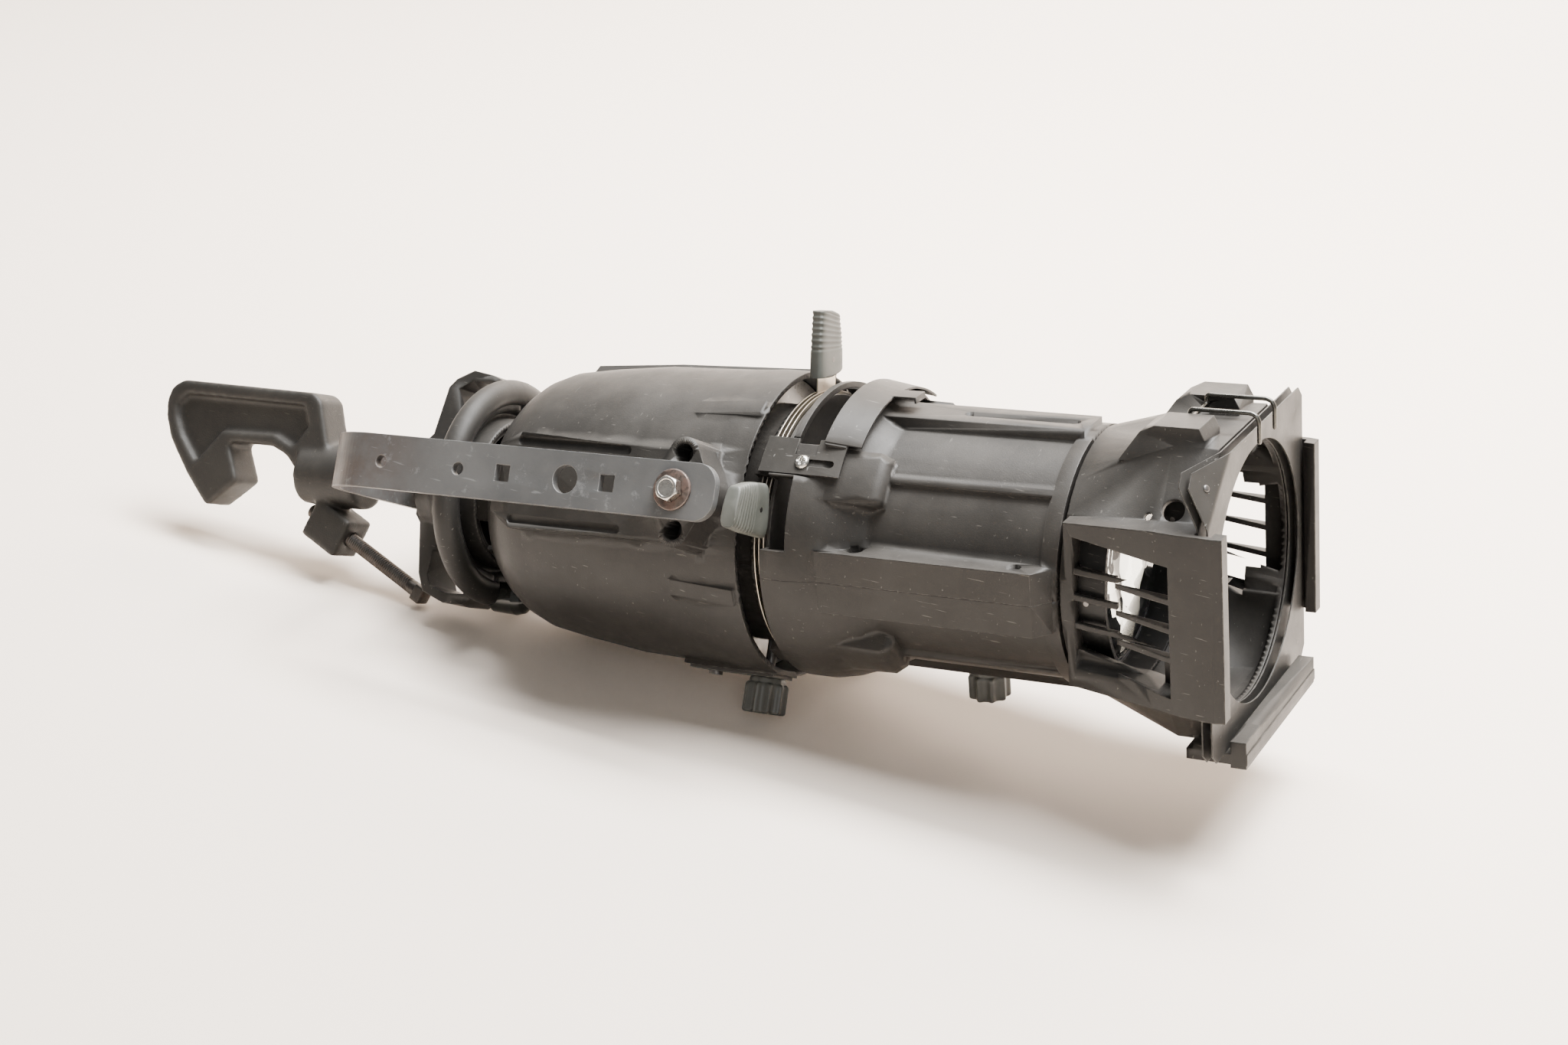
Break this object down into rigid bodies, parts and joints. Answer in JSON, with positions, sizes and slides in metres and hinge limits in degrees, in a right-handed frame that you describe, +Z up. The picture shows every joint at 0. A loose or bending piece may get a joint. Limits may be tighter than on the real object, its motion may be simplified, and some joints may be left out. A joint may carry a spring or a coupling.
{
  "type": "ellipsoidal spotlight",
  "caption": "Ellipsoidal stage spotlight: lobed die-cast reflector housing, turning lens barrel with framing shutters, flared colour frame holder, flat bar yoke and cast pipe clamp",
  "frame": {"origin": "bottom centre of the bounding box, on the bench the spotlight rests on", "axes": "+X along the spotlight towards the lens, the optical axis rising 7.5 degrees; +Z up; the lens barrel is upright, the housing leans 27.5 degrees with its pivot axis towards -Y raised"},
  "size_m": [0.768, 0.2402, 0.2338],
  "materials": {
    "housing": "satin",
    "barrel": "satin",
    "holder": "satin",
    "cap": "satin",
    "yoke": "satin",
    "clamp": "matte",
    "clamp_bolt": "satin",
    "cover": "satin",
    "colour_frame": "satin",
    "tube": "matte",
    "bracket": "satin",
    "grip": "matte",
    "knob": "matte",
    "gland": "gloss",
    "fibre": "matte",
    "stainless": "brushed",
    "spring_steel": "brushed",
    "plated": "satin",
    "screws": "satin",
    "bright_screws": "polished",
    "bolt": "satin",
    "rusty": "rusted",
    "wire": "satin",
    "ceramic": "glazed",
    "lamp_metal": "satin",
    "lamp_glass": "clear",
    "lens": "clear",
    "mirror": "polished"
  },
  "bodies": {
    "housing": {"reflector_housing": "housing", "bearing_plate": "plated", "bearing_plate_screws": "screws", "rear_cap": "cap", "cap_screws": "screws", "lamp_socket": "ceramic", "lamp_base": "lamp_metal", "lamp_bulb": "lamp_glass", "reflector": "mirror", "reflector_clips": "spring_steel", "cord_gland": "gland", "lock_bracket": "bracket", "bracket_screw": "screws", "yoke_bolts": "bolt", "yoke_washers": "rusty", "friction_discs": "fibre"},
    "yoke": {"yoke_near_arm": "yoke", "yoke_far_arm": "yoke", "yoke_strap": "yoke", "spud": "plated", "spud_bolt": "bolt"},
    "clamp": {"clamp_hook": "clamp"},
    "pipe_bolt": {"pipe_bolt": "clamp_bolt"},
    "set_screw": {"set_screw": "clamp_bolt"},
    "rotation_lock": {"rotation_knob": "knob", "rotation_stud": "screws"},
    "barrel": {"barrel_upper": "barrel", "barrel_lower": "barrel", "barrel_screws": "screws", "bearing_ring": "plated", "gate_plates": "stainless", "slot_screws": "bright_screws"},
    "slot_cover": {"slot_cover": "cover"},
    "near_shutter": {"near_blade": "stainless", "near_grip": "grip", "near_rivet": "screws"},
    "top_shutter": {"top_blade": "stainless", "top_grip": "grip", "top_rivet": "screws"},
    "far_shutter": {"far_blade": "stainless", "far_grip": "grip", "far_rivet": "screws"},
    "bottom_shutter": {"bottom_blade": "stainless", "bottom_grip": "grip", "bottom_rivet": "screws"},
    "lens_carriage": {"lens_tube": "tube", "front_holder": "holder", "holder_screws": "screws", "rear_lens": "lens", "front_lens": "lens", "rear_lens_ring": "plated", "front_lens_ring": "plated"},
    "focus_lock": {"focus_knob": "knob", "focus_stud": "screws"},
    "colour_frame": {"frame_front_leaf": "colour_frame", "frame_back_leaf": "colour_frame", "frame_rivets": "screws"},
    "wire_clip": {"wire_clip": "wire"}
  },
  "joints": [
    {"name": "yoke_tilt", "type": "hinge", "parent": "housing", "child": "yoke", "pos_m": [0.07047, -0.00528, 0.1029], "axis": [0.0603, 0.887, -0.4578], "range_deg": [-100, 100]},
    {"name": "clamp_swivel", "type": "hinge", "parent": "yoke", "child": "clamp", "pos_m": [-0.22696, -0.00528, 0.06374], "axis": [0.9914, 0, 0.1305], "range_deg": [-50, 40]},
    {"name": "pipe_bolt_feed", "type": "slide", "parent": "clamp", "child": "pipe_bolt", "axis": [-0.9432, 0.1618, 0.2902], "range_m": [0, 0.045]},
    {"name": "set_screw_feed", "type": "slide", "parent": "clamp", "child": "set_screw", "axis": [0.0478, 0.9304, -0.3634], "range_m": [0, 0.006]},
    {"name": "rotation_lock_turn", "type": "hinge", "parent": "housing", "child": "rotation_lock", "pos_m": [0.09513, -0.05146, 0.01668], "axis": [-0.1158, 0.4617, 0.8794], "range_deg": [-360, 360]},
    {"name": "barrel_rotation", "type": "hinge", "parent": "housing", "child": "barrel", "pos_m": [0.07047, -0.00528, 0.1029], "axis": [0.9914, 0, 0.1305], "range_deg": [-55, 0]},
    {"name": "slot_cover_slide", "type": "slide", "parent": "barrel", "child": "slot_cover", "axis": [0.9914, 0, 0.1305], "range_m": [-0.017, 0]},
    {"name": "near_shutter_slide", "type": "slide", "parent": "barrel", "child": "near_shutter", "axis": [-0.0562, -0.9026, 0.4268], "range_m": [0, 0.03]},
    {"name": "top_shutter_slide", "type": "slide", "parent": "barrel", "child": "top_shutter", "axis": [-0.1277, 0.2079, 0.9698], "range_m": [-0.0075, 0.0225]},
    {"name": "far_shutter_slide", "type": "slide", "parent": "barrel", "child": "far_shutter", "axis": [-0.0046, 0.9994, 0.0346], "range_m": [-0.008, 0.022]},
    {"name": "bottom_shutter_slide", "type": "slide", "parent": "barrel", "child": "bottom_shutter", "axis": [0.1133, 0.497, -0.8603], "range_m": [0, 0.03]},
    {"name": "focus_slide", "type": "slide", "parent": "barrel", "child": "lens_carriage", "axis": [0.9914, 0, 0.1305], "range_m": [0, 0.03]},
    {"name": "focus_lock_turn", "type": "hinge", "parent": "lens_carriage", "child": "focus_lock", "pos_m": [0.21327, -0.00528, 0.04101], "axis": [-0.1305, 0, 0.9914], "range_deg": [-360, 360]},
    {"name": "frame_lift", "type": "slide", "parent": "lens_carriage", "child": "colour_frame", "axis": [-0.1305, 0, 0.9914], "range_m": [0, 0.05]},
    {"name": "clip_swing", "type": "hinge", "parent": "lens_carriage", "child": "wire_clip", "pos_m": [0.319, -0.00528, 0.22236], "axis": [0, -1, 0], "range_deg": [-0.5, 106]}
  ],
  "couplings": [
    {"joint": "clip_swing", "follows": "frame_lift", "rad_per_m": 36.65}
  ]
}
